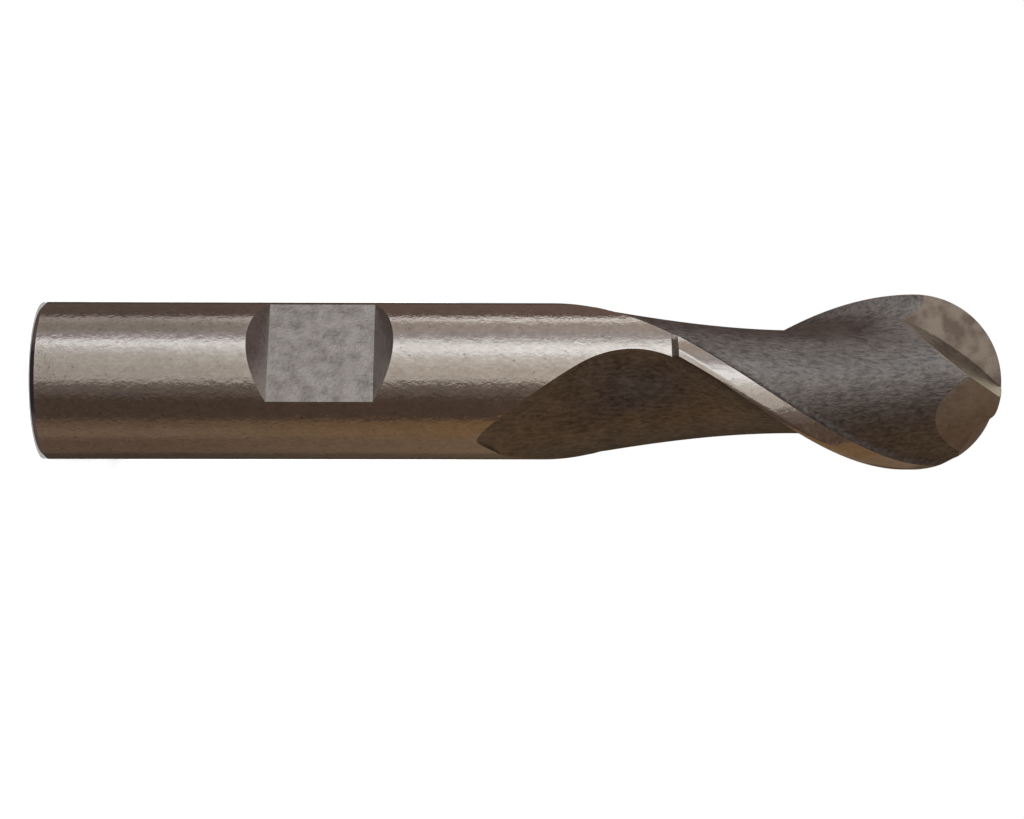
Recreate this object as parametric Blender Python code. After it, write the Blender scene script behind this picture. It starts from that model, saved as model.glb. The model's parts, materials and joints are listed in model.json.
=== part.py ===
# Two-flute ball end mill with a side-lock shank, ground from one bar of high-speed steel.
# +Z runs along the axis from the shank's end face to the ball, and -Y comes out of the shank's flat.
# Driving dimensions are in millimetres and degrees. The model is in metres.
import math

import bmesh
import bpy
import numpy as np
from mathutils import Matrix, Vector

MM = 0.001
INCH = 25.4

# Sizes over the whole tool
SHANK_RADIUS = INCH / 4
CUTTER_RADIUS = INCH * 9 / 32
LENGTH = 77.65
BALL_CENTRE = LENGTH - CUTTER_RADIUS
END_CHAMFER = 0.4
CLEARANCE = 1.0

# The step from the shank up to the cutter's full diameter
STEP_START = 50.3
STEP_SLOPE = 0.6
STEP_END = STEP_START + STEP_SLOPE * (CUTTER_RADIUS - SHANK_RADIUS)

# Side flat of the shank, for a set screw
FLAT_DISTANCE = 4.5
FLAT_CENTRE = 22.6
FLAT_LENGTH = 8.4
FLAT_WALL_RUN = 1.6

# Helix of the cutting edges: right hand, two teeth
TEETH = 2
HELIX_ANGLE = 34.75
LEAD = math.tau * CUTTER_RADIUS / math.tan(math.radians(HELIX_ANGLE))
EDGE_ANGLE_AT_BALL = 31.6
TIP_TURN_LIMIT = 53.0

# Wheel that grinds a flute: its rim is coned and hollowed, and it stands swivelled to the axis
WHEEL_RADIUS = 11.9
WHEEL_WIDTH = 18.25
WHEEL_CONE = 9.2
WHEEL_HOLLOW = 0.0207
WHEEL_CORNER = 6.0
WHEEL_SIDE_TILT = 45.8
WHEEL_FAR_CORNER = 0.25
WHEEL_SWIVEL = 29.8
WHEEL_ROOT = 4.156
WHEEL_SIDE = -6.78
WHEEL_LEAD_ANGLE = 27.2
FLUTE_END = 49.76
WHEEL_STROKE = LENGTH - FLUTE_END + 20.0

# Relief behind each cutting edge, as the share of the radius that is ground away
MARGIN_SIDE = 3.0
MARGIN_BALL = 7.0
RELIEF_RATE_SIDE = 0.35
RELIEF_RATE_BALL = 0.33
RELIEF_EASING = 0.082
RELIEF_REACH_SIDE = 24.0
RELIEF_REACH_BALL = 36.0
RELIEF_RETURN = 20.0
RELIEF_BLEND_LENGTH = 9.0
RELIEF_TIP_SHARE = 0.45

# Gash that opens each tooth of the ball up to the middle
GASH_TURN = 29.2
GASH_RADIUS = 26.0
GASH_PIVOT_BACK = 11.31
GASH_PIVOT_SIDE = 18.78
GASH_WEB = 0.8
GASH_FLOOR_ANGLE = 64.0
GASH_DEPTH = 8.5
GASH_REACH = 12.0
GASH_SWING_START = 15.0
GASH_SWING_END = 75.0

# Facet that clears the back of each tooth on the ball: part of a wide cylinder that leans to the axis
FACET_RADIUS = 10.0
FACET_AXIS_AHEAD = 5.23
FACET_AXIS_PAST = 1.22
FACET_LEAN_AHEAD = 8.65
FACET_LEAN_PAST = 22.4
FACET_LAG = 63.2
FACET_ARC = 80.0
FACET_LENGTH = 20.0

# Fineness of the mesh
SHANK_STEP_ANGLE = 5.5
STATION = 0.9
FLUTE_START = 33.0
FLUTE_STATION = 0.5
BALL_RINGS = 14
FLUTE_POINTS = 36
SIGHT_FIRST_ASIDE = 8.28
SIGHT_LAST_ASIDE = -8.955
SIGHT_SCAN_STEPS = 60
SIGHT_GAP = 0.01
SIGHT_MARCH_STEPS = 72
SIGHT_HALVINGS = 12
SIGHT_ANGLE = 95.0
SIGHT_ANGLE_AT_END = 30.0
SIGHT_TURN_LENGTH = 5.0
STROKE_STEPS = 110
GASH_STEPS = 60
FACET_STEPS = 20
OUTSIDE = 9.0
SHARP_ANGLE = 25.0


def edge_angle(z):
    """Angle about the axis of the first tooth's cutting edge, in radians."""
    return math.radians(EDGE_ANGLE_AT_BALL) + (z - BALL_CENTRE) * math.tau / LEAD


def blend(value, start, end):
    """Smooth rise from 0 at start to 1 at end."""
    t = min(max((value - start) / (end - start), 0.0), 1.0)
    return t * t * (3 - 2 * t)


def cutting_edge_angle(z):
    """The edge follows the helix, and on the ball the flat side of the gash, just ahead of the middle."""
    helix = edge_angle(z)
    if z <= BALL_CENTRE:
        return helix
    radius = math.sqrt(max(CUTTER_RADIUS ** 2 - (z - BALL_CENTRE) ** 2, 0.0))
    ahead = min(math.asin(GASH_WEB / max(radius, GASH_WEB)), math.radians(TIP_TURN_LIMIT))
    return min(helix, math.radians(GASH_TURN) + ahead)


def relief(lag, ball_share, radius):
    """Share of the radius ground away at an angle behind the cutting edge, in degrees."""
    reach = RELIEF_REACH_SIDE + (RELIEF_REACH_BALL - RELIEF_REACH_SIDE) * ball_share
    rate = RELIEF_RATE_SIDE + (RELIEF_RATE_BALL - RELIEF_RATE_SIDE) * ball_share
    margin = MARGIN_SIDE + (MARGIN_BALL - MARGIN_SIDE) * ball_share
    turn = math.radians(max(min(lag, reach) - margin, 0.0))
    drop = rate * turn - RELIEF_EASING * turn * turn
    steepening = 1 / max(radius / CUTTER_RADIUS, RELIEF_TIP_SHARE)
    return drop * steepening * (1 - blend(lag, reach, reach + RELIEF_RETURN))


def blank_rings():
    """Stations of the turned blank: height, radius, and whether it has relief there."""
    rings = [(0.0, SHANK_RADIUS - END_CHAMFER, False)]
    rings.append((END_CHAMFER, SHANK_RADIUS, False))
    rings.append((STEP_START, SHANK_RADIUS, False))
    count = math.ceil((BALL_CENTRE - STEP_END) / STATION)
    for i in range(count):
        rings.append((STEP_END + (BALL_CENTRE - STEP_END) * i / count, CUTTER_RADIUS, True))
    for i in range(BALL_RINGS):
        turn = math.pi / 2 * i / BALL_RINGS
        rings.append((BALL_CENTRE + CUTTER_RADIUS * math.sin(turn), CUTTER_RADIUS * math.cos(turn), True))
    return rings


def lag_angles():
    """Angles behind a cutting edge, in degrees, at which the blank has its lengthwise lines."""
    tooth = 360 / TEETH
    lags = [0.0, MARGIN_SIDE]
    count = round((tooth - 2 * SHANK_STEP_ANGLE) / SHANK_STEP_ANGLE)
    for i in range(count):
        lags.append(MARGIN_SIDE + (i + 1) * (tooth - SHANK_STEP_ANGLE - MARGIN_SIDE) / count)
    return lags


def blank_ring(z, radius, relieved):
    """One ring of points, twisted so that its lines follow the cutting edges."""
    tooth = 360 / TEETH
    lags = lag_angles()
    start = cutting_edge_angle(max(z, STEP_START))
    ball_share = blend(z, BALL_CENTRE - RELIEF_BLEND_LENGTH, BALL_CENTRE)
    points = []
    for tooth_number in range(TEETH):
        for lag in lags:
            drop = relief(lag, ball_share, radius) if relieved and lag != lags[-1] else 0.0
            angle = start - math.radians(lag + tooth_number * tooth)
            out = radius * (1 - drop)
            points.append(Vector((out * math.cos(angle), out * math.sin(angle), z)))
    return points


def skin(rings, closed_by_point=None):
    """Solid over a stack of rings of equal count, with flat ends or a last single point."""
    bm = bmesh.new()
    rows = [[bm.verts.new(point * MM) for point in ring] for ring in rings]
    for low, high in zip(rows, rows[1:]):
        for i in range(len(low)):
            j = (i + 1) % len(low)
            bm.faces.new((low[i], low[j], high[j], high[i]))
    bm.faces.new(reversed(rows[0]))
    if closed_by_point is None:
        bm.faces.new(rows[-1])
    else:
        pole = bm.verts.new(closed_by_point * MM)
        for i in range(len(rows[-1])):
            bm.faces.new((rows[-1][i], rows[-1][(i + 1) % len(rows[-1])], pole))
    bmesh.ops.recalc_face_normals(bm, faces=bm.faces)
    return bm


def add_object(name, bm, collection):
    mesh = bpy.data.meshes.new(name)
    bm.to_mesh(mesh)
    bm.free()
    obj = bpy.data.objects.new(name, mesh)
    collection.objects.link(obj)
    return obj


def add_blank(collection):
    rings = [blank_ring(*ring) for ring in blank_rings()]
    return add_object("end_mill", skin(rings, Vector((0, 0, LENGTH))), collection)


def rounded_corner(past_first, past_second, radius):
    """Distance from the form that two sides share, with the corner between them rounded."""
    first, second = past_first + radius, past_second + radius
    round_part = np.hypot(np.maximum(first, 0.0), np.maximum(second, 0.0)) - radius
    return round_part + np.minimum(np.maximum(first, second), 0.0)


def wheel_clearance(x, y, z):
    """Distance of points from the grinding wheel, less than 0 inside it. Its centre lies along +X."""
    swivel = math.radians(WHEEL_SWIVEL)
    across = y * math.cos(swivel) - z * math.sin(swivel)
    along = y * math.sin(swivel) + z * math.cos(swivel)
    from_side = np.maximum(across - WHEEL_SIDE, 0.0)
    rim = WHEEL_RADIUS - math.tan(math.radians(WHEEL_CONE)) * from_side + WHEEL_HOLLOW * from_side ** 2
    past_rim = np.hypot(along, WHEEL_RADIUS + WHEEL_ROOT - x) - rim
    tilt = math.radians(WHEEL_SIDE_TILT)
    past_side = (WHEEL_SIDE - across) * math.cos(tilt) - past_rim * math.sin(tilt)
    form = rounded_corner(past_rim, past_side, WHEEL_CORNER)
    return rounded_corner(form, across - WHEEL_SIDE - WHEEL_WIDTH, WHEEL_FAR_CORNER)


def flute_clearance(x, y, z):
    """Distance of points from the space that the wheel sweeps along the helix from the flute's end."""
    nearest = np.full(x.shape, np.inf)
    for shift in np.linspace(0.0, WHEEL_STROKE, STROKE_STEPS):
        turn = edge_angle(FLUTE_END + shift) + math.radians(WHEEL_LEAD_ANGLE)
        cos, sin = math.cos(turn), math.sin(turn)
        clearance = wheel_clearance(x * cos + y * sin, y * cos - x * sin, z - FLUTE_END - shift)
        nearest = np.minimum(nearest, clearance)
    return nearest


def sight_turn(z):
    """Angle about the axis, in degrees, from which the flute is seen at a height."""
    run_out = blend(FLUTE_END - z, 0.0, SIGHT_TURN_LENGTH)
    ahead = SIGHT_ANGLE + (SIGHT_ANGLE_AT_END - SIGHT_ANGLE) * run_out
    return math.degrees(edge_angle(max(z, FLUTE_END))) + ahead


def sight_starts(aside, turn):
    """Points on a circle outside the bar from which the lines of sight start."""
    out = np.sqrt(OUTSIDE ** 2 - aside ** 2)
    cos, sin = np.cos(turn), np.sin(turn)
    return out * cos + aside * sin, out * sin - aside * cos


def ground_side(outer, inner, turn, height):
    """Where the ground space starts between two lines of sight, one outside it and one inside."""
    for _ in range(SIGHT_HALVINGS):
        half = (outer + inner) / 2
        free = flute_clearance(*sight_starts(half, turn), height) < 0
        outer, inner = np.where(free, outer, half), np.where(free, half, inner)
    return inner


def flute_asides(turn, z):
    """Where the lines of sight lie across the view: two past each side of the ground space, others in it."""
    scan = np.linspace(SIGHT_FIRST_ASIDE, SIGHT_LAST_ASIDE, SIGHT_SCAN_STEPS)
    inside = flute_clearance(*sight_starts(scan[None, :], turn[:, None]), z[:, None]) < 0
    first = np.argmax(inside, axis=1)
    last = len(scan) - 1 - np.argmax(inside[:, ::-1], axis=1)
    start = ground_side(scan[np.maximum(first - 1, 0)], scan[first], turn, z)
    end = ground_side(scan[np.minimum(last + 1, len(scan) - 1)], scan[last], turn, z)
    rows = []
    for hit, side, far_side in zip(inside.any(axis=1), start, end):
        if hit:
            side = min(side, SIGHT_FIRST_ASIDE - 2 * SIGHT_GAP)
            far_side = max(far_side, SIGHT_LAST_ASIDE + 2 * SIGHT_GAP)
            before = [SIGHT_FIRST_ASIDE, side + SIGHT_GAP]
            after = [far_side - SIGHT_GAP, SIGHT_LAST_ASIDE]
            between = np.linspace(side, far_side, FLUTE_POINTS - len(before) - len(after))
            rows.append([*before, *between, *after])
        else:
            rows.append(np.linspace(SIGHT_FIRST_ASIDE, SIGHT_LAST_ASIDE, FLUTE_POINTS))
    return np.array(rows)


def flute_sights(z):
    """Parallel lines of sight into one flute at each height: where they start, and their directions."""
    turn = np.radians([sight_turn(height) for height in z])
    aside = flute_asides(turn, z)
    x, y = sight_starts(aside, turn[:, None])
    ones = np.ones(aside.shape)
    return x, y, -np.cos(turn)[:, None] * ones, -np.sin(turn)[:, None] * ones


def flute_depths(x, y, dir_x, dir_y, height):
    """How far each line of sight runs before it leaves the ground space."""
    steps = np.linspace(0.0, 2 * OUTSIDE, SIGHT_MARCH_STEPS + 1)
    inside = np.ones(x.shape, bool)
    low = np.zeros(x.shape)
    for step in steps:
        inside &= flute_clearance(x + dir_x * step, y + dir_y * step, height) < 0
        low = np.where(inside, step, low)
    high = low + steps[1]
    for _ in range(SIGHT_HALVINGS):
        half = (low + high) / 2
        free = flute_clearance(x + dir_x * half, y + dir_y * half, height) < 0
        low, high = np.where(free, half, low), np.where(free, high, half)
    return low


def fluted_bar_rings():
    """Sections of an oversize bar with both flutes in it, from below the shank to above the ball."""
    top = LENGTH + CLEARANCE
    count = math.ceil((top - FLUTE_START) / FLUTE_STATION)
    z = np.append(-CLEARANCE, np.linspace(FLUTE_START, top, count))
    x, y, dir_x, dir_y = flute_sights(z)
    height = np.broadcast_to(z[:, None], x.shape)
    depth = flute_depths(x, y, dir_x, dir_y, height)
    depth[0] = 0.0
    x, y = x + dir_x * depth, y + dir_y * depth
    rings = []
    for row in range(len(z)):
        flute = [Vector((x[row, i], y[row, i], z[row])) for i in range(FLUTE_POINTS)]
        ring = []
        for tooth_number in range(TEETH):
            turn = Matrix.Rotation(math.tau * tooth_number / TEETH, 3, "Z")
            ring += [turn @ point for point in flute]
        rings.append(ring)
    return rings


def tooth_directions(tooth_number):
    """The ways out through a tooth's cutting edge on the ball, and ahead of it."""
    edge = math.radians(GASH_TURN) + math.tau * tooth_number / TEETH
    return Vector((math.cos(edge), math.sin(edge), 0)), Vector((-math.sin(edge), math.cos(edge), 0))


def gash_rings(tooth_number):
    """Sections of a swept wedge: a flat side just ahead of the axis, and a floor that slopes up from it."""
    out, ahead = tooth_directions(tooth_number)
    pivot = Vector((0, 0, BALL_CENTRE - GASH_PIVOT_BACK)) - out * GASH_PIVOT_SIDE
    slope = (GASH_DEPTH - GASH_WEB) / math.tan(math.radians(GASH_FLOOR_ANGLE))
    outer = GASH_RADIUS + GASH_REACH
    profile = [(GASH_RADIUS, GASH_WEB), (outer, GASH_WEB)]
    profile += [(outer, GASH_DEPTH), (GASH_RADIUS - slope, GASH_DEPTH)]
    rings = []
    for i in range(GASH_STEPS + 1):
        swing = math.radians(GASH_SWING_START + (GASH_SWING_END - GASH_SWING_START) * i / GASH_STEPS)
        away = out * math.sin(swing) + Vector((0, 0, math.cos(swing)))
        rings.append([pivot + away * radius + ahead * depth for radius, depth in profile])
    return rings


def facet_rings(tooth_number):
    """Two ends of a block whose near face is hollowed to the facet's curve."""
    out, ahead = tooth_directions(tooth_number)
    lean_past, lean_ahead = math.radians(FACET_LEAN_PAST), math.radians(FACET_LEAN_AHEAD)
    along = (Vector((0, 0, 1)) - out * math.tan(lean_past) + ahead * math.tan(lean_ahead)).normalized()
    middle = Vector((0, 0, BALL_CENTRE)) - out * FACET_AXIS_PAST + ahead * FACET_AXIS_AHEAD
    lag = math.radians(FACET_LAG)
    facing = out * math.cos(lag) - ahead * math.sin(lag)
    facing = (facing - along * facing.dot(along)).normalized()
    aside = along.cross(facing)
    turns = [math.radians(FACET_ARC * (i / FACET_STEPS - 0.5)) for i in range(FACET_STEPS + 1)]
    outline = [(FACET_RADIUS, turn) for turn in turns]
    outline += [(FACET_RADIUS + CUTTER_RADIUS, turn) for turn in reversed(turns)]
    section = [(facing * math.cos(turn) + aside * math.sin(turn)) * radius for radius, turn in outline]
    ends = [middle + along * shift for shift in (-FACET_LENGTH / 2, FACET_LENGTH / 2)]
    return [[end + point for point in section] for end in ends]


def flat_rings():
    """Two ends of the prism that grinds the side flat, with its sloped walls."""
    depth = SHANK_RADIUS - FLAT_DISTANCE
    outside = SHANK_RADIUS + CLEARANCE
    flare = FLAT_WALL_RUN * (depth + CLEARANCE) / depth
    half = FLAT_LENGTH / 2
    outline = [(-half, FLAT_DISTANCE), (half, FLAT_DISTANCE)]
    outline += [(half + flare, outside), (-half - flare, outside)]
    return [[Vector((x, -y, FLAT_CENTRE + z)) for z, y in outline] for x in (-outside, outside)]


def add_cutter(name, rings, collection):
    cutter = add_object(name, skin(rings), collection)
    cutter.hide_render = True
    cutter.display_type = "WIRE"
    return cutter


def grind(body, cutter, operation="DIFFERENCE"):
    cut = body.modifiers.new(cutter.name, "BOOLEAN")
    cut.operation = operation
    cut.solver = "EXACT"
    cut.object = cutter


def ground_steel():
    material = bpy.data.materials.new("ground_steel")
    material.use_nodes = True
    shader = material.node_tree.nodes["Principled BSDF"]
    shader.inputs["Base Color"].default_value = (0.5, 0.46, 0.42, 1)
    shader.inputs["Metallic"].default_value = 1.0
    shader.inputs["Roughness"].default_value = 0.3
    return material


def main():
    for obj in list(bpy.data.objects):
        bpy.data.objects.remove(obj)
    tool = bpy.data.collections.new("ball_end_mill")
    cutters = bpy.data.collections.new("cutters")
    bpy.context.scene.collection.children.link(tool)
    bpy.context.scene.collection.children.link(cutters)
    body = add_blank(tool)
    grind(body, add_cutter("fluted_bar", fluted_bar_rings(), cutters), "INTERSECT")
    for tooth_number in range(TEETH):
        grind(body, add_cutter(f"gash_{tooth_number}", gash_rings(tooth_number), cutters))
        grind(body, add_cutter(f"facet_{tooth_number}", facet_rings(tooth_number), cutters))
    grind(body, add_cutter("flat_grinder", flat_rings(), cutters))
    body.data.materials.append(ground_steel())
    body.data.shade_smooth()
    body.data.set_sharp_from_angle(angle=math.radians(SHARP_ANGLE))


main()
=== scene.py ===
import json
import math

import bmesh
import bpy
import numpy as np
from mathutils import Matrix, Vector
from mathutils.kdtree import KDTree


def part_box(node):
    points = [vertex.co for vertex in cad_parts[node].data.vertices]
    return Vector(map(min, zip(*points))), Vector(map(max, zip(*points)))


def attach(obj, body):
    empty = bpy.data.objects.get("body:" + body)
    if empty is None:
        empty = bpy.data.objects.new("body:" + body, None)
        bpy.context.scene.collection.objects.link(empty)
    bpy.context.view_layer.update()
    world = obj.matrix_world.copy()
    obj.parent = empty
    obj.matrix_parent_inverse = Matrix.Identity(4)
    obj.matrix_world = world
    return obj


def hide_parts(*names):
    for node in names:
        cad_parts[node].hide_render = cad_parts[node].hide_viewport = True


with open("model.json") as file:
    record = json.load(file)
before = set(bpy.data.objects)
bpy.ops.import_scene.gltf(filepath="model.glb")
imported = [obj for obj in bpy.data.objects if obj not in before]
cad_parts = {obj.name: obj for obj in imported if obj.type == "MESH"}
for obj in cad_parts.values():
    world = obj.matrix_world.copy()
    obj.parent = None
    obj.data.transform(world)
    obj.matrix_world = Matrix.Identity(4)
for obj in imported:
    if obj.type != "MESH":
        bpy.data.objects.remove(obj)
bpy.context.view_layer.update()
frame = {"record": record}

# Dictionaries hold millimetres and degrees, and meshes are scaled to metres when they are finished
mm = 0.001
inch = 25.4
photoWidth = 1024

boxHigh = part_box("end_mill")[1]
mounts = {mount["name"]: mount for mount in frame["record"]["mounts"]}
flatPoint = [value / mm for value in mounts["shank_flat"]["pos_m"]]

blank = {
    "length": boxHigh[2] / mm,
    "shankRadius": inch / 4,
    "cutterRadius": inch * 9 / 32,
    "endChamfer": 0.4,
    "stepStart": 50.3,
    "stepSlope": 0.6,
    "teeth": 2,
    "helixAngle": 34.75,
    "edgeTurnAtBall": 31.6,
    "tipTurnLimit": 53.0,
    "segments": 240,
    "shankRings": 51,
    "station": 0.35,
    "ballRings": 44,
    "lagDigits": 4,
}
blank["ballCentre"] = blank["length"] - blank["cutterRadius"]
blank["stepHeight"] = blank["cutterRadius"] - blank["shankRadius"]
blank["stepEnd"] = blank["stepStart"] + blank["stepSlope"] * blank["stepHeight"]
blank["lead"] = math.tau * blank["cutterRadius"] / math.tan(math.radians(blank["helixAngle"]))

# Relief behind a cutting edge, as the share of the radius that is ground away
relief = {"marginSide": 3.0, "marginBall": 7.0, "rateSide": 0.35, "rateBall": 0.33, "easing": 0.082,
          "reachSide": 24.0, "reachBall": 36.0, "return": 20.0, "blendLength": 9.0, "tipShare": 0.45}

# The wheel that grinds a flute, its path, and the lines of sight that find the ground surface
wheel = {"radius": 11.9, "width": 18.25, "cone": 9.2, "hollow": 0.0207, "corner": 6.0, "sideTilt": 45.8,
         "farCorner": 0.25, "swivel": 29.8, "root": 4.156, "side": -6.78, "leadAngle": 27.2}
flute = {"end": 49.76, "leafStart": 32.0, "settled": 13.0, "station": 0.25, "points": 92, "outside": 9.0,
         "sight": 95.0, "sightAtEnd": 30.0, "sightTurn": 5.0, "firstAside": 8.28, "lastAside": -8.955,
         "sideLines": 4, "scan": 120, "gap": 0.01, "stroke": 0.2, "march": 0.3, "halvings": 13,
         "past": 1.0}

gash = {"turn": 29.2, "radius": 26.0, "pivotBack": 11.31, "pivotSide": 18.78, "web": 0.8, "floorAngle": 64.0,
        "depth": 8.5, "reach": 12.0, "swingStart": 15.0, "swingEnd": 75.0, "steps": 160,
        "aligned": 0.99}
facet = {"radius": 10.0, "axisAhead": 5.23, "axisPast": 1.22, "leanAhead": 8.65, "leanPast": 22.4,
         "lag": 63.2, "arc": 80.0, "length": 20.0, "steps": 80}
flat = {"distance": -flatPoint[1], "centre": flatPoint[2], "length": 8.4, "wallRun": 1.6, "clear": 1.0}

# Rims, lightened as worn edges and as a painted edge highlight, and the distances within which points are
# merged or a face is told by its place
rims = {"reach": 0.22, "angle": 28.0, "pointsPerReach": 3}
merging = {"made": 0.0005, "cut": 0.002}
tolerance = 0.01

lens = {"turn": 29.2, "focalPixels": 2150.0, "distance": 174.75, "height": 37.85, "pitch": -1.13,
        "drop": 2.29, "roll": -0.0016, "filmWidth": 36.0, "clipStart": 0.005}


def smoothRise(value, start, end):
    t = min(max((value - start) / (end - start), 0.0), 1.0)
    return t * t * (3 - 2 * t)


# Tool geometry

def edgeTurn(z):
    return math.radians(blank["edgeTurnAtBall"]) + (z - blank["ballCentre"]) * math.tau / blank["lead"]


def cuttingTurn(z):
    # on the ball the edge follows the flat side of the gash
    if z <= blank["ballCentre"]:
        return edgeTurn(z)
    across = math.sqrt(max(blank["cutterRadius"] ** 2 - (z - blank["ballCentre"]) ** 2, 0.0))
    ahead = min(math.asin(gash["web"] / max(across, gash["web"])), math.radians(blank["tipTurnLimit"]))
    return min(edgeTurn(z), math.radians(gash["turn"]) + ahead)


def reliefValue(name, ballShare):
    return relief[name + "Side"] + (relief[name + "Ball"] - relief[name + "Side"]) * ballShare


def groundAway(lag, ballShare, radius):
    reach = reliefValue("reach", ballShare)
    turn = math.radians(max(min(lag, reach) - reliefValue("margin", ballShare), 0.0))
    drop = reliefValue("rate", ballShare) * turn - relief["easing"] * turn * turn
    steepening = 1 / max(radius / blank["cutterRadius"], relief["tipShare"])
    return drop * steepening * (1 - smoothRise(lag, reach, reach + relief["return"]))


def blankProfile():
    radius = blank["shankRadius"]
    points = [(0.0, 0.0), (radius - blank["endChamfer"], 0.0)]
    shankHeights = np.linspace(blank["endChamfer"], blank["stepStart"], blank["shankRings"])
    points += [(radius, z) for z in shankHeights]
    count = math.ceil((blank["ballCentre"] - blank["stepEnd"]) / blank["station"])
    length = blank["ballCentre"] - blank["stepEnd"]
    points += [(blank["cutterRadius"], blank["stepEnd"] + length * i / count) for i in range(count)]
    for i in range(blank["ballRings"] + 1):
        turn = math.pi / 2 * i / blank["ballRings"]
        points.append((blank["cutterRadius"] * math.cos(turn),
                       blank["ballCentre"] + blank["cutterRadius"] * math.sin(turn)))
    return points


def finishMesh(bm, name, materials):
    bmesh.ops.recalc_face_normals(bm, faces=bm.faces)
    bmesh.ops.scale(bm, vec=(mm, mm, mm), verts=bm.verts)
    mesh = bpy.data.meshes.new(name)
    bm.to_mesh(mesh)
    bm.free()
    for material in materials:
        mesh.materials.append(material)
    piece = bpy.data.objects.new(name, mesh)
    bpy.context.scene.collection.objects.link(piece)
    return piece


def turnBlank(materials):
    # spin the profile, then twist each ring to its edge and grind the relief into it
    bm = bmesh.new()
    verts = [bm.verts.new((radius, 0, z)) for radius, z in blankProfile()]
    edges = [bm.edges.new(pair) for pair in zip(verts, verts[1:])]
    bmesh.ops.spin(bm, geom=verts + edges, cent=(0, 0, 0), axis=(0, 0, 1), angle=math.tau,
                   steps=blank["segments"], use_merge=True)
    bmesh.ops.remove_doubles(bm, verts=bm.verts, dist=merging["made"])
    tooth = 360 / blank["teeth"]
    for vert in bm.verts:
        radius, z = math.hypot(vert.co.x, vert.co.y), vert.co.z
        turn = math.atan2(vert.co.y, vert.co.x)
        lag = round(-math.degrees(turn), blank["lagDigits"]) % tooth
        if z > blank["stepStart"] + tolerance:
            share = smoothRise(z, blank["ballCentre"] - relief["blendLength"], blank["ballCentre"])
            radius *= 1 - groundAway(lag, share, radius)
        turn += cuttingTurn(max(z, blank["stepStart"]))
        vert.co.x, vert.co.y = radius * math.cos(turn), radius * math.sin(turn)
    for face in bm.faces:
        face.material_index = 1 if face.calc_center_median().z > blank["stepStart"] else 0
    return finishMesh(bm, "ground_tool", materials)


def roundedCorner(pastFirst, pastSecond, radius):
    first, second = pastFirst + radius, pastSecond + radius
    roundPart = np.hypot(np.maximum(first, 0.0), np.maximum(second, 0.0)) - radius
    return roundPart + np.minimum(np.maximum(first, second), 0.0)


def wheelClearance(x, y, z):
    # distance from the wheel, less than 0 inside it; its centre lies along +X
    swivel, tilt = math.radians(wheel["swivel"]), math.radians(wheel["sideTilt"])
    across = y * math.cos(swivel) - z * math.sin(swivel)
    along = y * math.sin(swivel) + z * math.cos(swivel)
    fromSide = np.maximum(across - wheel["side"], 0.0)
    narrowing = math.tan(math.radians(wheel["cone"])) * fromSide
    rim = wheel["radius"] - narrowing + wheel["hollow"] * fromSide ** 2
    pastRim = np.hypot(along, wheel["radius"] + wheel["root"] - x) - rim
    pastSide = (wheel["side"] - across) * math.cos(tilt) - pastRim * math.sin(tilt)
    form = roundedCorner(pastRim, pastSide, wheel["corner"])
    return roundedCorner(form, across - wheel["side"] - wheel["width"], wheel["farCorner"])


def fluteClearance(x, y, z):
    # distance from the space that the wheel sweeps along the helix
    nearest = np.full(x.shape, np.inf)
    for shift in np.arange(0.0, 2 * flute["settled"], flute["stroke"]):
        turn = edgeTurn(flute["end"] + shift) + math.radians(wheel["leadAngle"])
        cos, sin = math.cos(turn), math.sin(turn)
        nearest = np.minimum(nearest, wheelClearance(x * cos + y * sin, y * cos - x * sin,
                                                     z - flute["end"] - shift))
    return nearest


def sightTurn(z):
    runOut = smoothRise(flute["end"] - z, 0.0, flute["sightTurn"])
    ahead = flute["sight"] + (flute["sightAtEnd"] - flute["sight"]) * runOut
    return edgeTurn(max(z, flute["end"])) + math.radians(ahead)


def sightStarts(aside, turn):
    out = np.sqrt(flute["outside"] ** 2 - aside ** 2)
    return out * np.cos(turn) + aside * np.sin(turn), out * np.sin(turn) - aside * np.cos(turn)


def groundSide(outer, inner, turn, z):
    # where the ground space starts between a line of sight outside it and one inside
    for _ in range(flute["halvings"]):
        half = (outer + inner) / 2
        free = fluteClearance(*sightStarts(half, turn), z) < 0
        outer, inner = np.where(free, outer, half), np.where(free, half, inner)
    return inner


def sightAsides(turn, z):
    # two lines of sight pass each side of the ground space, and the others are spread in it
    first, last, gap = flute["firstAside"], flute["lastAside"], flute["gap"]
    scan = np.linspace(first, last, flute["scan"])
    inside = fluteClearance(*sightStarts(scan[None, :], turn[:, None]), z[:, None]) < 0
    entry = np.argmax(inside, axis=1)
    leaving = len(scan) - 1 - np.argmax(inside[:, ::-1], axis=1)
    start = groundSide(scan[np.maximum(entry - 1, 0)], scan[entry], turn, z)
    end = groundSide(scan[np.minimum(leaving + 1, len(scan) - 1)], scan[leaving], turn, z)
    rows = []
    for hit, side, farSide in zip(inside.any(axis=1), start, end):
        if not hit:
            rows.append(np.linspace(first, last, flute["points"]))
            continue
        side, farSide = min(side, first - 2 * gap), max(farSide, last + 2 * gap)
        between = np.linspace(side, farSide, flute["points"] - flute["sideLines"])
        rows.append(np.concatenate([[first, side + gap], between, [farSide - gap, last]]))
    return np.array(rows)


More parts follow.
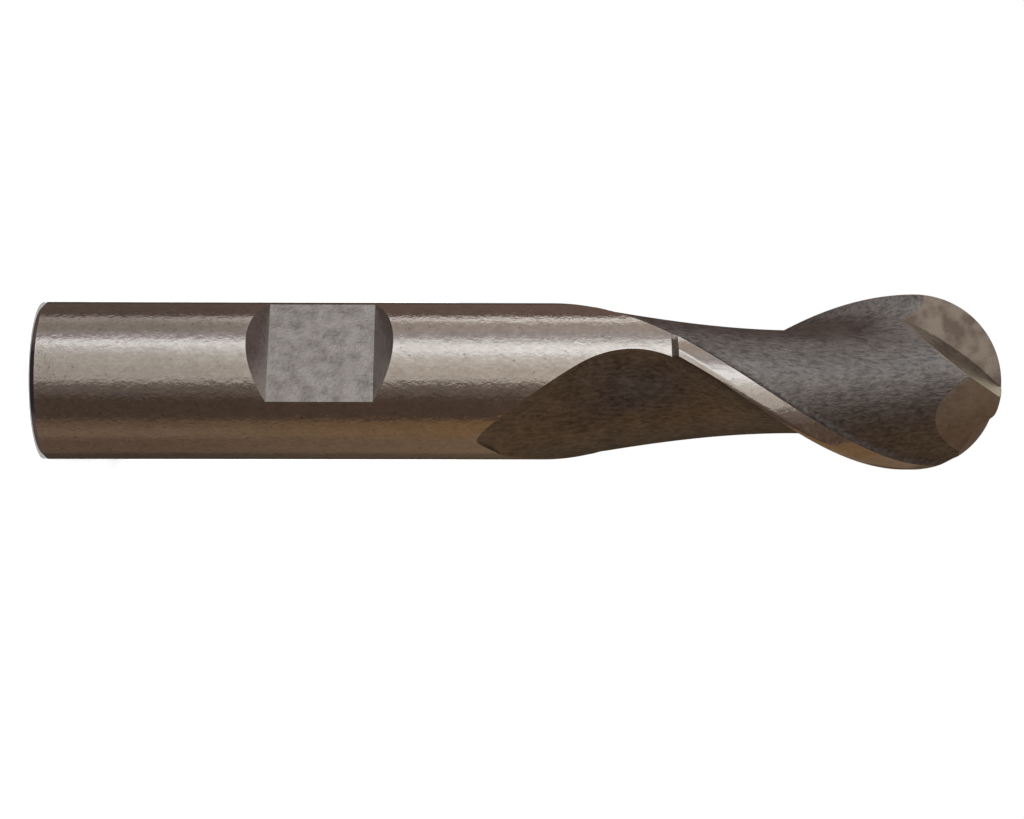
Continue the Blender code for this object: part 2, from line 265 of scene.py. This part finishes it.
def fluteSections(heights):
    # parallel lines of sight run into the flute until they leave the ground space
    turn = np.array([sightTurn(z) for z in heights])
    aside = sightAsides(turn, heights)
    turn = turn[:, None]
    x, y = sightStarts(aside, turn)
    dirX, dirY = -np.cos(turn) * np.ones(x.shape), -np.sin(turn) * np.ones(x.shape)
    z = np.broadcast_to(heights[:, None], x.shape)
    inside, low = np.ones(x.shape, bool), np.zeros(x.shape)
    for step in np.arange(0.0, 2 * flute["outside"], flute["march"]):
        inside &= fluteClearance(x + dirX * step, y + dirY * step, z) < 0
        low = np.where(inside, step, low)
    high = low + flute["march"]
    for _ in range(flute["halvings"]):
        half = (low + high) / 2
        free = fluteClearance(x + dirX * half, y + dirY * half, z) < 0
        low, high = np.where(free, half, low), np.where(free, high, half)
    return x + dirX * low, y + dirY * low


def flutedBar(materials):
    # oversize bar with both flutes in it; past the run-out its section only turns with the helix
    settledAt = flute["end"] + flute["settled"]
    low = np.arange(flute["leafStart"], settledAt, flute["station"])
    high = np.arange(settledAt, blank["length"] + flute["past"], flute["station"])
    x, y = fluteSections(np.append(low, settledAt))
    rows = [(-flute["past"], x[0], y[0])] + [(z, x[i], y[i]) for i, z in enumerate(low)]
    for z in high:
        turn = edgeTurn(z) - edgeTurn(settledAt)
        cos, sin = math.cos(turn), math.sin(turn)
        rows.append((z, x[-1] * cos - y[-1] * sin, x[-1] * sin + y[-1] * cos))
    columns = blank["teeth"] * flute["points"]
    bm = bmesh.new()
    bmesh.ops.create_grid(bm, x_segments=columns, y_segments=len(rows) - 1, size=1.0)
    for vert in bm.verts:
        column = round((vert.co.x + 1) / 2 * columns) % columns
        z, rowX, rowY = rows[round((vert.co.y + 1) / 2 * (len(rows) - 1))]
        tooth, point = divmod(column, flute["points"])
        place = Vector((rowX[point], rowY[point], z))
        vert.co = Matrix.Rotation(math.tau * tooth / blank["teeth"], 3, "Z") @ place
    bmesh.ops.remove_doubles(bm, verts=bm.verts, dist=merging["made"])
    bmesh.ops.holes_fill(bm, edges=[edge for edge in bm.edges if edge.is_boundary], sides=0)
    return finishMesh(bm, "fluted_bar", materials)


def toothWays(tooth):
    # the ways out through a tooth's cutting edge on the ball, and ahead of it
    edge = math.radians(gash["turn"]) + math.tau * tooth / blank["teeth"]
    return Vector((math.cos(edge), math.sin(edge), 0)), Vector((-math.sin(edge), math.cos(edge), 0))


def gashCutter(tooth, materials):
    # a wedge section, swept on a large circle: its flat side lies just ahead of the axis
    out, ahead = toothWays(tooth)
    pivot = Vector((0, 0, blank["ballCentre"] - gash["pivotBack"])) - out * gash["pivotSide"]
    slope = (gash["depth"] - gash["web"]) / math.tan(math.radians(gash["floorAngle"]))
    outer = gash["radius"] + gash["reach"]
    section = [(gash["radius"], gash["web"]), (outer, gash["web"]), (outer, gash["depth"]),
               (gash["radius"] - slope, gash["depth"])]
    start = math.radians(gash["swingStart"])
    away = out * math.sin(start) + Vector((0, 0, math.cos(start)))
    bm = bmesh.new()
    verts = [bm.verts.new(pivot + away * radius + ahead * depth) for radius, depth in section]
    face = bm.faces.new(verts)
    bmesh.ops.spin(bm, geom=verts + list(face.edges) + [face], cent=pivot, axis=ahead,
                   angle=math.radians(gash["swingEnd"] - gash["swingStart"]), steps=gash["steps"])
    bmesh.ops.holes_fill(bm, edges=[edge for edge in bm.edges if edge.is_boundary], sides=0)
    bm.normal_update()
    for face in bm.faces:
        face.material_index = 0 if abs(face.normal.dot(ahead)) > gash["aligned"] else 1
    return finishMesh(bm, f"gash_{tooth}", materials)


def facetCutter(tooth, materials):
    # a rectangle spun about a leaning axis, so that its near face is part of a wide cylinder
    out, ahead = toothWays(tooth)
    along = Vector((0, 0, 1)) - out * math.tan(math.radians(facet["leanPast"]))
    along = (along + ahead * math.tan(math.radians(facet["leanAhead"]))).normalized()
    middle = Vector((0, 0, blank["ballCentre"])) - out * facet["axisPast"] + ahead * facet["axisAhead"]
    lag = math.radians(facet["lag"])
    facing = out * math.cos(lag) - ahead * math.sin(lag)
    facing = (facing - along * facing.dot(along)).normalized()
    facing = Matrix.Rotation(-math.radians(facet["arc"] / 2), 3, along) @ facing
    half, outer = facet["length"] / 2, facet["radius"] + blank["cutterRadius"]
    corners = [(facet["radius"], -half), (outer, -half), (outer, half), (facet["radius"], half)]
    places = [middle + facing * radius + along * shift for radius, shift in corners]
    bm = bmesh.new()
    face = bm.faces.new([bm.verts.new(place) for place in places])
    bmesh.ops.spin(bm, geom=list(face.verts) + list(face.edges) + [face], cent=middle, axis=along,
                   angle=math.radians(facet["arc"]), steps=facet["steps"])
    bmesh.ops.holes_fill(bm, edges=[edge for edge in bm.edges if edge.is_boundary], sides=0)
    return finishMesh(bm, f"facet_{tooth}", materials)


def flatCutter(materials):
    # a block whose walls slope out from the flat
    depth = blank["shankRadius"] - flat["distance"]
    flare = flat["wallRun"] * (depth + flat["clear"]) / depth
    half, width = flat["length"] / 2, blank["shankRadius"] + flat["clear"]
    bm = bmesh.new()
    bmesh.ops.create_cube(bm, size=2.0)
    for vert in bm.verts:
        outer = vert.co.y < 0
        vert.co.x *= width
        vert.co.y = -(blank["shankRadius"] + flat["clear"]) if outer else -flat["distance"]
        vert.co.z = flat["centre"] + vert.co.z * (half + flare if outer else half)
    bm.normal_update()
    for face in bm.faces:
        onFlat = face.calc_center_median().y > -flat["distance"] - tolerance
        face.material_index = 0 if onFlat else 1
    return finishMesh(bm, "flat_grinder", materials)


def grind(piece, cutters):
    for cutter, operation in cutters:
        cut = piece.modifiers.new(cutter.name, "BOOLEAN")
        cut.operation = operation
        cut.solver = "EXACT"
        cut.object = cutter
        cut.material_mode = "TRANSFER"
    evaluated = piece.evaluated_get(bpy.context.evaluated_depsgraph_get())
    mesh = bpy.data.meshes.new_from_object(evaluated)
    piece.modifiers.clear()
    piece.data = mesh
    mesh.name = piece.name
    for cutter, _ in cutters:
        bpy.data.objects.remove(cutter)


def markRims(piece):
    # a point attribute that is 1 on a sharp edge and fades to 0 at the reach
    reach, angle = rims["reach"] * mm, math.radians(rims["angle"])
    spacing = reach / rims["pointsPerReach"]
    gap = merging["cut"] * mm
    bm = bmesh.new()
    bm.from_mesh(piece.data)
    bmesh.ops.remove_doubles(bm, verts=bm.verts, dist=gap)
    bmesh.ops.dissolve_degenerate(bm, edges=bm.edges, dist=gap)
    bmesh.ops.triangulate(bm, faces=bm.faces)
    bm.normal_update()
    sharp = [edge for edge in bm.edges if len(edge.link_faces) == 2 and edge.calc_face_angle() > angle]
    points = []
    for edge in sharp:
        start, end = edge.verts[0].co, edge.verts[1].co
        count = max(1, math.ceil((end - start).length / spacing))
        points += [start.lerp(end, i / count) for i in range(count + 1)]
    tree = KDTree(len(points))
    for index, point in enumerate(points):
        tree.insert(point, index)
    tree.balance()
    layer = bm.verts.layers.float.new("rim")
    for vert in bm.verts:
        vert[layer] = max(0.0, 1 - tree.find(vert.co)[2] / reach)
    bm.to_mesh(piece.data)
    bm.free()
    piece.data.shade_smooth()
    piece.data.set_sharp_from_angle(angle=angle)


# Materials

def addNode(tree, kind, values=None, **settings):
    node = tree.nodes.new(kind)
    for name, value in settings.items():
        setattr(node, name, value)
    for name, value in (values or {}).items():
        node.inputs[name].default_value = value
    return node


def newGroup(name, inputs, outputs):
    group = bpy.data.node_groups.new(name, "ShaderNodeTree")
    for label, kind in inputs:
        group.interface.new_socket(label, in_out="INPUT", socket_type=kind)
    for label, kind in outputs:
        group.interface.new_socket(label, in_out="OUTPUT", socket_type=kind)
    return group, group.nodes.new("NodeGroupInput"), group.nodes.new("NodeGroupOutput")


def wheelMarksGroup():
    # wheel marks: noise that is stretched along the way the wheel ran
    group, given, result = newGroup(
        "wheelMarks",
        [("Vector", "NodeSocketVector"), ("Stretch", "NodeSocketVector"), ("Detail", "NodeSocketFloat")],
        [("Mark", "NodeSocketFloat")])
    stretch = addNode(group, "ShaderNodeVectorMath", operation="MULTIPLY")
    noise = addNode(group, "ShaderNodeTexNoise", {"Scale": 1.0, "Roughness": 0.6})
    group.links.new(given.outputs["Vector"], stretch.inputs[0])
    group.links.new(given.outputs["Stretch"], stretch.inputs[1])
    group.links.new(stretch.outputs["Vector"], noise.inputs["Vector"])
    group.links.new(given.outputs["Detail"], noise.inputs["Detail"])
    group.links.new(noise.outputs["Fac"], result.inputs["Mark"])
    return group


def rimWearAndHighlightGroup():
    # light edge lines, partly worn edges and partly a painted edge highlight, broken up a little
    group, given, result = newGroup(
        "rimWearAndHighlight", [("Vector", "NodeSocketVector"), ("Amount", "NodeSocketFloat")],
        [("WearAndHighlight", "NodeSocketFloat")])
    rim = addNode(group, "ShaderNodeAttribute", attribute_name="rim")
    noise = addNode(group, "ShaderNodeTexNoise", {"Scale": 900.0, "Detail": 3.0})
    broken = addNode(group, "ShaderNodeMapRange",
                     {"From Min": 0.35, "From Max": 0.6, "To Min": 0.4, "To Max": 1.0})
    narrow = addNode(group, "ShaderNodeMath", {1: 2.0}, operation="POWER")
    first = addNode(group, "ShaderNodeMath", operation="MULTIPLY")
    second = addNode(group, "ShaderNodeMath", operation="MULTIPLY")
    group.links.new(given.outputs["Vector"], noise.inputs["Vector"])
    group.links.new(noise.outputs["Fac"], broken.inputs["Value"])
    group.links.new(rim.outputs["Fac"], narrow.inputs[0])
    group.links.new(narrow.outputs[0], first.inputs[0])
    group.links.new(broken.outputs["Result"], first.inputs[1])
    group.links.new(first.outputs[0], second.inputs[0])
    group.links.new(given.outputs["Amount"], second.inputs[1])
    group.links.new(second.outputs[0], result.inputs["WearAndHighlight"])
    return group


def stainsGroup():
    # soft stains with small dark pits in them
    group, given, result = newGroup(
        "stains",
        [("Vector", "NodeSocketVector"), ("Scale", "NodeSocketFloat"), ("Pit Scale", "NodeSocketFloat")],
        [("Stain", "NodeSocketFloat"), ("Pit", "NodeSocketFloat")])
    noise = addNode(group, "ShaderNodeTexNoise", {"Detail": 4.0, "Roughness": 0.62})
    cells = addNode(group, "ShaderNodeTexVoronoi")
    pits = addNode(group, "ShaderNodeMapRange",
                   {"From Min": 0.05, "From Max": 0.16, "To Min": 1.0, "To Max": 0.0})
    group.links.new(given.outputs["Vector"], noise.inputs["Vector"])
    group.links.new(given.outputs["Scale"], noise.inputs["Scale"])
    group.links.new(given.outputs["Vector"], cells.inputs["Vector"])
    group.links.new(given.outputs["Pit Scale"], cells.inputs["Scale"])
    group.links.new(cells.outputs["Distance"], pits.inputs["Value"])
    group.links.new(noise.outputs["Fac"], result.inputs["Stain"])
    group.links.new(pits.outputs["Result"], result.inputs["Pit"])
    return group


# Middle of a noise's values, the shade of a pit, and the turn that lays the ground lines round the tool
noiseMiddle = 0.5
pitShade = 0.45
quarterTurn = 0.25


def steelFinish(name, look):
    # one ground or polished face of the tool: base colours, roughness range, marks, stains, and rims that are
    # partly worn edges and partly a painted edge highlight
    # a Mix node's inputs 2 and 3 and output 0 are its numbers, and inputs 6 and 7 and output 2 its colours
    material = bpy.data.materials.new(name)
    material.use_nodes = True
    tree = material.node_tree
    shader = tree.nodes["Principled BSDF"]
    shader.inputs["Metallic"].default_value = 1.0
    shader.inputs["Anisotropic"].default_value = look["anisotropy"]
    shader.inputs["Anisotropic Rotation"].default_value = quarterTurn
    place = addNode(tree, "ShaderNodeTexCoord")
    if look["anisotropy"]:
        tangent = addNode(tree, "ShaderNodeTangent", direction_type="RADIAL", axis="Z")
        tree.links.new(tangent.outputs["Tangent"], shader.inputs["Tangent"])
    marks = addNode(tree, "ShaderNodeGroup", node_tree=groups["marks"])
    marks.inputs["Stretch"].default_value = look["stretch"]
    marks.inputs["Detail"].default_value = look["detail"]
    stains = addNode(tree, "ShaderNodeGroup", node_tree=groups["stains"])
    stains.inputs["Scale"].default_value = look["stainScale"]
    stains.inputs["Pit Scale"].default_value = look["pitScale"]
    wearAndHighlight = addNode(tree, "ShaderNodeGroup", node_tree=groups["rims"])
    wearAndHighlight.inputs["Amount"].default_value = look["rim"]
    for effect in (marks, stains, wearAndHighlight):
        tree.links.new(place.outputs["Object"], effect.inputs["Vector"])
    # colour: dark to light through marks and stains, then pits, then rims lightened as worn edges and as a
    # painted edge highlight
    mixed = addNode(tree, "ShaderNodeMix", {"Factor": look["stainShare"]}, data_type="FLOAT")
    spread = addNode(tree, "ShaderNodeMapRange",
                     {"From Min": noiseMiddle - look["softness"], "From Max": noiseMiddle + look["softness"]})
    steel = addNode(tree, "ShaderNodeMix", data_type="RGBA")
    steel.inputs[6].default_value = look["dark"] + (1,)
    steel.inputs[7].default_value = look["light"] + (1,)
    pitted = addNode(tree, "ShaderNodeMix", data_type="RGBA")
    pitted.inputs[7].default_value = tuple(value * pitShade for value in look["dark"]) + (1,)
    pitShare = addNode(tree, "ShaderNodeMath", {1: look["pits"]}, operation="MULTIPLY")
    # the rim colour is partly worn edge and partly a painted edge highlight
    rimmed = addNode(tree, "ShaderNodeMix", data_type="RGBA")
    rimmed.inputs[7].default_value = look["rimWearAndHighlightColour"] + (1,)
    tree.links.new(marks.outputs["Mark"], mixed.inputs[2])
    tree.links.new(stains.outputs["Stain"], mixed.inputs[3])
    tree.links.new(mixed.outputs[0], spread.inputs["Value"])
    tree.links.new(spread.outputs["Result"], steel.inputs[0])
    tree.links.new(stains.outputs["Pit"], pitShare.inputs[0])
    tree.links.new(pitShare.outputs[0], pitted.inputs[0])
    tree.links.new(steel.outputs[2], pitted.inputs[6])
    tree.links.new(wearAndHighlight.outputs["WearAndHighlight"], rimmed.inputs[0])
    tree.links.new(pitted.outputs[2], rimmed.inputs[6])
    tree.links.new(rimmed.outputs[2], shader.inputs["Base Color"])
    # roughness and relief from the same marks
    rough = addNode(tree, "ShaderNodeMapRange",
                    {"From Min": 0.3, "From Max": 0.7, "To Min": look["smooth"], "To Max": look["rough"]})
    bump = addNode(tree, "ShaderNodeBump", {"Strength": look["bump"], "Distance": look["bumpDepth"] * mm})
    tree.links.new(mixed.outputs[0], rough.inputs["Value"])
    tree.links.new(rough.outputs["Result"], shader.inputs["Roughness"])
    tree.links.new(mixed.outputs[0], bump.inputs["Height"])
    tree.links.new(bump.outputs["Normal"], shader.inputs["Normal"])
    return material


# Stretch and scales are in marks per metre, bump depths in millimetres
# rim and the rim colour lighten sharp edges, partly as worn edges and partly as a painted edge highlight
looks = {
    "shank_ground": {
        "anisotropy": 0.5, "stretch": (3400, 3400, 2300), "detail": 3.0,
        "stainScale": 800.0, "stainShare": 0.4, "pitScale": 1100.0, "pits": 0.5, "softness": 0.2,
        "dark": (0.57, 0.535, 0.50), "light": (0.84, 0.81, 0.77),
        "rim": 0.5, "rimWearAndHighlightColour": (0.86, 0.83, 0.78),
        "smooth": 0.06, "rough": 0.18, "bump": 0.5, "bumpDepth": 0.08},
    "land_ground": {
        "anisotropy": 0.3, "stretch": (2600, 2600, 1400), "detail": 3.0,
        "stainScale": 500.0, "stainShare": 0.45, "pitScale": 1100.0, "pits": 0.4, "softness": 0.2,
        "dark": (0.60, 0.57, 0.54), "light": (0.84, 0.81, 0.78),
        "rim": 0.6, "rimWearAndHighlightColour": (0.9, 0.87, 0.82),
        "smooth": 0.08, "rough": 0.2, "bump": 0.5, "bumpDepth": 0.07},
    "flute_ground": {
        "anisotropy": 0.0, "stretch": (4000, 4000, 1500), "detail": 3.0,
        "stainScale": 600.0, "stainShare": 0.35, "pitScale": 1600.0, "pits": 0.25, "softness": 0.13,
        "dark": (0.20, 0.195, 0.195), "light": (0.43, 0.42, 0.415),
        "rim": 0.6, "rimWearAndHighlightColour": (0.5, 0.34, 0.24),
        "smooth": 0.32, "rough": 0.5, "bump": 0.6, "bumpDepth": 0.15},
    # the gash face's very dark colours are a painted dark reflection, far darker than the same steel on the
    # gash floor
    "gash_face_painted_dark_reflection": {
        "anisotropy": 0.0, "stretch": (1800, 1800, 1800), "detail": 3.0,
        "stainScale": 500.0, "stainShare": 0.5, "pitScale": 1600.0, "pits": 0.2, "softness": 0.3,
        "dark": (0.115, 0.088, 0.075), "light": (0.155, 0.12, 0.102),
        "rim": 0.7, "rimWearAndHighlightColour": (0.6, 0.55, 0.5),
        "smooth": 0.12, "rough": 0.22, "bump": 0.4, "bumpDepth": 0.05},
    "gash_floor": {
        "anisotropy": 0.0, "stretch": (3000, 3000, 1500), "detail": 3.0,
        "stainScale": 600.0, "stainShare": 0.5, "pitScale": 1600.0, "pits": 0.2, "softness": 0.22,
        "dark": (0.56, 0.55, 0.50), "light": (0.80, 0.79, 0.74),
        "rim": 0.8, "rimWearAndHighlightColour": (0.92, 0.9, 0.84),
        "smooth": 0.25, "rough": 0.4, "bump": 0.5, "bumpDepth": 0.1},
    "facet_ground": {
        "anisotropy": 0.0, "stretch": (3000, 3000, 1500), "detail": 3.0,
        "stainScale": 600.0, "stainShare": 0.5, "pitScale": 1600.0, "pits": 0.2, "softness": 0.18,
        "dark": (0.44, 0.41, 0.37), "light": (0.72, 0.68, 0.62),
        "rim": 0.5, "rimWearAndHighlightColour": (0.8, 0.75, 0.68),
        "smooth": 0.22, "rough": 0.38, "bump": 0.5, "bumpDepth": 0.1},
    "flat_matte": {
        "anisotropy": 0.0, "stretch": (5000, 5000, 3600), "detail": 2.0,
        "stainScale": 1000.0, "stainShare": 0.2, "pitScale": 1700.0, "pits": 0.55, "softness": 0.11,
        "dark": (0.20, 0.19, 0.185), "light": (0.50, 0.485, 0.475),
        "rim": 0.9, "rimWearAndHighlightColour": (0.7, 0.69, 0.67),
        "smooth": 0.45, "rough": 0.65, "bump": 0.7, "bumpDepth": 0.15},
    "flat_wall": {
        "anisotropy": 0.0, "stretch": (3000, 3000, 3000), "detail": 3.0,
        "stainScale": 700.0, "stainShare": 0.5, "pitScale": 1500.0, "pits": 0.2, "softness": 0.25,
        "dark": (0.46, 0.42, 0.40), "light": (0.60, 0.56, 0.54),
        "rim": 0.3, "rimWearAndHighlightColour": (0.7, 0.66, 0.62),
        "smooth": 0.16, "rough": 0.26, "bump": 0.4, "bumpDepth": 0.05},
}

groups = {"marks": wheelMarksGroup(), "rims": rimWearAndHighlightGroup(), "stains": stainsGroup()}
finishes = {name: steelFinish(name, look) for name, look in looks.items()}
print("materials ready")

tool = turnBlank([finishes["shank_ground"], finishes["land_ground"]])
bar = flutedBar([finishes["flute_ground"]])
print("blank and fluted bar ready:", len(tool.data.polygons), len(bar.data.polygons), "faces")
cutters = [(bar, "INTERSECT")]
for tooth in range(blank["teeth"]):
    cutters.append((gashCutter(tooth, [finishes["gash_face_painted_dark_reflection"], finishes["gash_floor"]]), "DIFFERENCE"))
    cutters.append((facetCutter(tooth, [finishes["facet_ground"]]), "DIFFERENCE"))
cutters.append((flatCutter([finishes["flat_matte"], finishes["flat_wall"]]), "DIFFERENCE"))
grind(tool, cutters)
markRims(tool)
print("tool ground:", len(tool.data.polygons), "faces")
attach(tool, "root")
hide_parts("end_mill")


# Studio: a white world, a pale floor, a sun, and upright strips that only reflections see

studio = {"worldLevel": 0.12, "floorSize": 6000.0, "floorBelow": 0.05, "floorTone": 0.86,
          "floorOwnLight": 0.34, "sunWidth": 8.0, "sunRise": 62.0, "sunStrength": 3.4}

strips = {
    "radius": 60.0, "steps": 6, "stepsArc": 45.0, "discSegments": 48,
    # each colour changes from near to far between these heights
    "near": 0.0, "far": 40.0,
    # edges in degrees from the camera towards the picture's upper side, then near and far colours
    "rows": [
        {"name": "main", "low": -14.0, "high": 97.0, "bands": [
            (-180, -150, (0.05, 0.04, 0.03), (0.06, 0.045, 0.03)),
            (-150, -128, (0.067, 0.048, 0.037), (0.115, 0.08, 0.052)),
            (-128, -88, (0.125, 0.082, 0.058), (0.195, 0.13, 0.082)),
            (-88, -70, (0.18, 0.123, 0.086), (0.20, 0.12, 0.06)),
            (-70, -57, (0.145, 0.094, 0.062), (0.19, 0.11, 0.055)),
            (-57, -22, (0.073, 0.05, 0.037), (0.085, 0.055, 0.042)),
            (-22, -12, (0.124, 0.097, 0.086), (0.13, 0.10, 0.086)),
            (-12, -2, (0.163, 0.13, 0.11), (0.163, 0.13, 0.11)),
            (-2, 20, (0.43, 0.385, 0.35), (0.52, 0.46, 0.41)),
            (20, 33, (0.48, 0.44, 0.40), (0.64, 0.59, 0.54)),
            (33, 39, (0.53, 0.50, 0.47), (0.80, 0.77, 0.75)),
            (39, 49, (0.60, 0.57, 0.55), (1.05, 1.04, 1.04)),
            (49, 56, (1.0, 0.99, 0.99), (0.85, 0.83, 0.82)),
            (56, 62, (0.62, 0.60, 0.60), (0.58, 0.55, 0.54)),
            (62, 72, (0.33, 0.285, 0.285), (0.38, 0.34, 0.335)),
            (72, 90, (0.26, 0.225, 0.195), (0.39, 0.335, 0.30)),
            (90, 94, (0.33, 0.285, 0.26), (0.44, 0.38, 0.34)),
            (94, 101, (0.40, 0.35, 0.33), (1.0, 0.95, 0.92)),
            (101, 150, (0.11, 0.08, 0.068), (0.155, 0.105, 0.087)),
            (150, 180, (0.05, 0.04, 0.03), (0.06, 0.045, 0.03))]},
        {"name": "upper", "low": 97.0, "high": 190.0, "bands": [
            (-180, -64, (0.12, 0.08, 0.055), (0.12, 0.08, 0.055)),
            (-64, -10, (0.16, 0.115, 0.085), (0.16, 0.115, 0.085)),
            (-10, 60, (0.18, 0.15, 0.13), (0.18, 0.15, 0.13)),
            (60, 130, (0.12, 0.09, 0.085), (0.12, 0.09, 0.085)),
            (130, 180, (0.42, 0.37, 0.29), (0.42, 0.37, 0.29))]},
        {"name": "lower", "low": -60.0, "high": -14.0, "bands": [
            (-180, 180, (0.09, 0.07, 0.06), (0.09, 0.07, 0.06))]}],
    # name, height, radius and colour of the discs above and below
    "discs": [
        ("lid", 190.0, 60.0, (0.14, 0.11, 0.09)),
        ("base", -60.0, 60.0, (0.10, 0.08, 0.075)),
        ("foot", -58.0, 30.0, (0.03, 0.022, 0.032))],
}


def glowing(name, near, far):
    material = bpy.data.materials.new(name)
    material.use_nodes = True
    tree = material.node_tree
    tree.nodes.clear()
    place = addNode(tree, "ShaderNodeTexCoord")
    axes = addNode(tree, "ShaderNodeSeparateXYZ")
    share = addNode(tree, "ShaderNodeMapRange",
                    {"From Min": strips["near"] * mm, "From Max": strips["far"] * mm})
    colour = addNode(tree, "ShaderNodeMix", data_type="RGBA")
    colour.inputs[6].default_value = near + (1,)
    colour.inputs[7].default_value = far + (1,)
    light = addNode(tree, "ShaderNodeEmission")
    output = addNode(tree, "ShaderNodeOutputMaterial")
    tree.links.new(place.outputs["Object"], axes.inputs[0])
    tree.links.new(axes.outputs["Z"], share.inputs["Value"])
    tree.links.new(share.outputs["Result"], colour.inputs[0])
    tree.links.new(colour.outputs[2], light.inputs["Color"])
    tree.links.new(light.outputs[0], output.inputs["Surface"])
    return material


def stageStrip(bm, name, near, far):
    strip = finishMesh(bm, name, [glowing(name, near, far)])
    strip.visible_camera = False
    strip.visible_diffuse = False
    strip.visible_shadow = False
    strip.visible_transmission = False


def buildStrips():
    facing = math.radians(-90 + lens["turn"])
    for row in strips["rows"]:
        for index, (start, end, near, far) in enumerate(row["bands"]):
            turn = facing - math.radians(start)
            out = Vector((math.cos(turn), math.sin(turn), 0)) * strips["radius"]
            bm = bmesh.new()
            ends = [bm.verts.new(out + Vector((0, 0, z))) for z in (row["low"], row["high"])]
            edge = bm.edges.new(ends)
            steps = strips["steps"] * math.ceil((end - start) / strips["stepsArc"])
            bmesh.ops.spin(bm, geom=ends + [edge], cent=(0, 0, 0), axis=(0, 0, 1),
                           angle=-math.radians(end - start), steps=steps)
            stageStrip(bm, f"strip_{row['name']}_{index}", near, far)
    for name, z, radius, colour in strips["discs"]:
        bm = bmesh.new()
        bmesh.ops.create_circle(bm, cap_ends=True, segments=strips["discSegments"], radius=radius,
                                matrix=Matrix.Translation((0, 0, z)))
        stageStrip(bm, name, colour, colour)


def whiteRays(tree):
    # camera, glossy and transmission rays all see the white background
    path = addNode(tree, "ShaderNodeLightPath")
    first = addNode(tree, "ShaderNodeMath", operation="MAXIMUM")
    second = addNode(tree, "ShaderNodeMath", operation="MAXIMUM")
    tree.links.new(path.outputs["Is Camera Ray"], first.inputs[0])
    tree.links.new(path.outputs["Is Glossy Ray"], first.inputs[1])
    tree.links.new(first.outputs[0], second.inputs[0])
    tree.links.new(path.outputs["Is Transmission Ray"], second.inputs[1])
    return second.outputs[0]


def buildWorld():
    world = bpy.data.worlds.new("whiteStudio")
    bpy.context.scene.world = world
    world.use_nodes = True
    tree = world.node_tree
    background = tree.nodes["Background"]
    background.inputs["Color"].default_value = (1, 1, 1, 1)
    level = addNode(tree, "ShaderNodeMapRange", {"To Min": studio["worldLevel"], "To Max": 1.0})
    tree.links.new(whiteRays(tree), level.inputs["Value"])
    tree.links.new(level.outputs["Result"], background.inputs["Strength"])


def buildFloor():
    # pale floor: lit by the sun, with a little of its own white for the camera, so that the shadow stays
    tone = studio["floorTone"]
    bm = bmesh.new()
    bmesh.ops.create_grid(bm, x_segments=2, y_segments=2, size=studio["floorSize"],
                          matrix=Matrix.Translation((0, 0, -studio["floorBelow"])))
    material = bpy.data.materials.new("pale_floor")
    material.use_nodes = True
    tree = material.node_tree
    tree.nodes.clear()
    diffuse = addNode(tree, "ShaderNodeBsdfDiffuse", {"Color": (tone, tone, tone, 1)})
    own = addNode(tree, "ShaderNodeEmission")
    share = addNode(tree, "ShaderNodeMapRange", {"To Min": 0.0, "To Max": studio["floorOwnLight"]})
    both = addNode(tree, "ShaderNodeAddShader")
    output = addNode(tree, "ShaderNodeOutputMaterial")
    tree.links.new(whiteRays(tree), share.inputs["Value"])
    tree.links.new(share.outputs["Result"], own.inputs["Strength"])
    tree.links.new(diffuse.outputs[0], both.inputs[0])
    tree.links.new(own.outputs[0], both.inputs[1])
    tree.links.new(both.outputs[0], output.inputs["Surface"])
    floor = finishMesh(bm, "floor", [material])
    floor.visible_glossy = False


def buildLamp():
    # a high soft sun from the camera's side, so that the shadow falls behind the tool
    lamp = bpy.data.lights.new("softSun", "SUN")
    lamp.angle = math.radians(studio["sunWidth"])
    lamp.energy = studio["sunStrength"]
    holder = bpy.data.objects.new("softSun", lamp)
    bpy.context.scene.collection.objects.link(holder)
    turn, rise = math.radians(lens["turn"]), math.radians(studio["sunRise"])
    level = Vector((math.sin(turn), -math.cos(turn), 0))
    towards = level * math.cos(rise) + Vector((0, 0, math.sin(rise)))
    holder.rotation_euler = towards.to_track_quat("Z", "Y").to_euler()
    holder.visible_glossy = False


def buildCamera():
    turn, pitch, roll = math.radians(lens["turn"]), math.radians(lens["pitch"]), lens["roll"]
    towards = Vector((math.sin(turn), -math.cos(turn), 0))
    upward = Vector((-math.cos(turn), -math.sin(turn), 0))
    axis = Vector((0, 0, 1))
    right = axis * math.cos(pitch) - towards * math.sin(pitch)
    back = axis * math.sin(pitch) + towards * math.cos(pitch)
    place = axis * (lens["height"] + lens["distance"] * math.sin(pitch))
    place += towards * lens["distance"] * math.cos(pitch) - upward * lens["drop"]
    across = right * math.cos(roll) - upward * math.sin(roll)
    top = right * math.sin(roll) + upward * math.cos(roll)
    camera = bpy.data.cameras.new("camera")
    camera.sensor_width = lens["filmWidth"]
    camera.lens = lens["focalPixels"] / photoWidth * lens["filmWidth"]
    camera.clip_start = lens["clipStart"]
    holder = bpy.data.objects.new("camera", camera)
    bpy.context.scene.collection.objects.link(holder)
    rotation = Matrix((across, top, back)).transposed().to_4x4()
    holder.matrix_world = Matrix.Translation(place * mm) @ rotation
    bpy.context.scene.camera = holder


buildStrips()
buildWorld()
buildFloor()
buildLamp()
buildCamera()
bpy.context.scene.view_settings.view_transform = "Standard"
print("studio ready")
